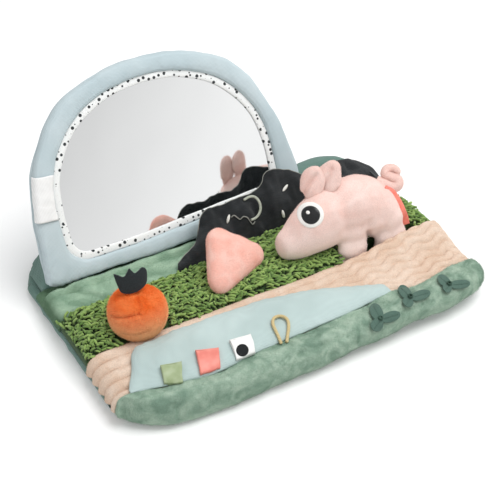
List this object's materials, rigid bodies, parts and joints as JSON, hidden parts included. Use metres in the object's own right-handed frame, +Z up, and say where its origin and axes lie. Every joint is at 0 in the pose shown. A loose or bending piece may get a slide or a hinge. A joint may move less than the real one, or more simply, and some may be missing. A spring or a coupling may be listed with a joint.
{
  "type": "tummy time activity mat",
  "caption": "Padded baby activity mat with a tilting floor mirror, textured strips, plush toys in pockets, ribbon tabs and felt sprouts.",
  "frame": {"origin": "on the floor, at the middle of the mat's width, 175 mm behind the face of its front roll", "axes": "+X along the front edge to the right, +Y to the back, +Z up"},
  "size_m": [0.44, 0.3369, 0.2218],
  "materials": {
    "dark_green_canvas": "matte woven canvas",
    "wadding": "polyester wadding",
    "sage_plush_light": "short plush",
    "sage_plush": "short plush",
    "chenille_green": "looped chenille pile",
    "peach_ribbed_plush": "wide-rib plush",
    "mint_cotton": "matte cotton",
    "blue_grey_cotton": "matte cotton",
    "board": "plain backing board",
    "mirror_film": "silvered plastic sheet",
    "dotted_binding": "cotton binding with small dark dots",
    "white_satin_tag": "woven satin, blank",
    "black_crinkle_cloth": "crinkled cotton",
    "pale_grey_cord": "braided cord",
    "beige_string": "braided cord",
    "orange_plush": "short plush",
    "dark_green_felt": "felt",
    "salmon_plush": "short plush",
    "pale_pink_plush": "short plush",
    "eye_white_felt": "felt",
    "eye_black_felt": "satin-stitched felt",
    "coral_satin": "satin ribbon, blank",
    "green_ribbon": "woven ribbon",
    "coral_ribbon": "woven ribbon",
    "white_ribbon": "woven ribbon with one black dot",
    "sprout_felt": "felt"
  },
  "bodies": {
    "mat": {"base_cover": "dark_green_canvas", "mat_wadding": "wadding", "back_plush_field": "sage_plush_light", "grass_strip": "chenille_green", "ribbed_path": "peach_ribbed_plush", "stream_panel": "mint_cotton", "front_bolster": "sage_plush", "hill_cover": "dark_green_canvas", "hill_wadding": "wadding", "hinge_piping": "blue_grey_cotton", "soil_flap": "black_crinkle_cloth", "root_loop": "pale_grey_cord", "string_loop": "beige_string"},
    "mirror_panel": {"mirror_front_cover": "blue_grey_cotton", "mirror_back_cover": "blue_grey_cotton", "mirror_board": "board", "mirror_sheet": "mirror_film", "dotted_binding": "dotted_binding", "blank_tag": "white_satin_tag"},
    "triangle": {"triangle_cushion": "salmon_plush"},
    "carrot_toy": {"carrot_body": "orange_plush", "carrot_leaves": "dark_green_felt"},
    "pig_toy": {"pig_body": "pale_pink_plush", "pig_head": "pale_pink_plush", "pig_near_ear": "pale_pink_plush", "pig_far_ear": "pale_pink_plush", "pig_front_leg": "pale_pink_plush", "pig_rear_leg": "pale_pink_plush", "pig_tail": "pale_pink_plush", "pig_near_eye_white": "eye_white_felt", "pig_near_eye_black": "eye_black_felt", "pig_far_eye_white": "eye_white_felt", "pig_far_eye_black": "eye_black_felt", "pig_ribbon": "coral_satin"},
    "green_ribbon_tab": {"green_tab": "green_ribbon"},
    "coral_ribbon_tab": {"coral_tab": "coral_ribbon"},
    "white_ribbon_tab": {"white_tab": "white_ribbon"},
    "sprout_1": {"sprout_1_leaf": "sprout_felt", "sprout_1_knot": "sprout_felt"},
    "sprout_2": {"sprout_2_leaf": "sprout_felt", "sprout_2_knot": "sprout_felt"},
    "sprout_3": {"sprout_3_leaf": "sprout_felt", "sprout_3_knot": "sprout_felt"}
  },
  "joints": [
    {"name": "mirror_fold", "type": "hinge", "parent": "mat", "child": "mirror_panel", "pos_m": [-0.046, 0.0513, 0.0308], "axis": [1, 0, 0], "range_deg": [0, 45], "deforming": ["soil_flap", "root_loop"]},
    {"name": "triangle_flop", "type": "hinge", "parent": "mat", "child": "triangle", "pos_m": [-0.0145, -0.034, 0.039], "axis": [0.9063, 0.4226, 0], "range_deg": [0, 80]},
    {"name": "carrot_pull", "type": "slide", "parent": "mat", "child": "carrot_toy", "axis": [0, 0, 1], "range_m": [0, 0.04]},
    {"name": "pig_pull", "type": "slide", "parent": "mat", "child": "pig_toy", "axis": [0, 0, 1], "range_m": [0, 0.03]},
    {"name": "green_tab_flip", "type": "hinge", "parent": "mat", "child": "green_ribbon_tab", "pos_m": [-0.157, -0.1505, 0.04138], "axis": [1, 0, 0], "range_deg": [0, 110]},
    {"name": "coral_tab_flip", "type": "hinge", "parent": "mat", "child": "coral_ribbon_tab", "pos_m": [-0.118, -0.1505, 0.04399], "axis": [1, 0, 0], "range_deg": [0, 110]},
    {"name": "white_tab_flip", "type": "hinge", "parent": "mat", "child": "white_ribbon_tab", "pos_m": [-0.078, -0.1505, 0.04186], "axis": [1, 0, 0], "range_deg": [0, 110]},
    {"name": "sprout_1_wiggle", "type": "hinge", "parent": "mat", "child": "sprout_1", "pos_m": [0.0665, -0.16357, 0.03875], "axis": [0.0102, -0.2458, 0.9693], "range_deg": [-20, 20]},
    {"name": "sprout_2_wiggle", "type": "hinge", "parent": "mat", "child": "sprout_2", "pos_m": [0.111, -0.15801, 0.03928], "axis": [-0.0024, -0.0305, 0.9995], "range_deg": [-20, 20]},
    {"name": "sprout_3_wiggle", "type": "hinge", "parent": "mat", "child": "sprout_3", "pos_m": [0.1625, -0.15701, 0.03928], "axis": [0.0009, -0.0252, 0.9997], "range_deg": [-20, 20]}
  ]
}
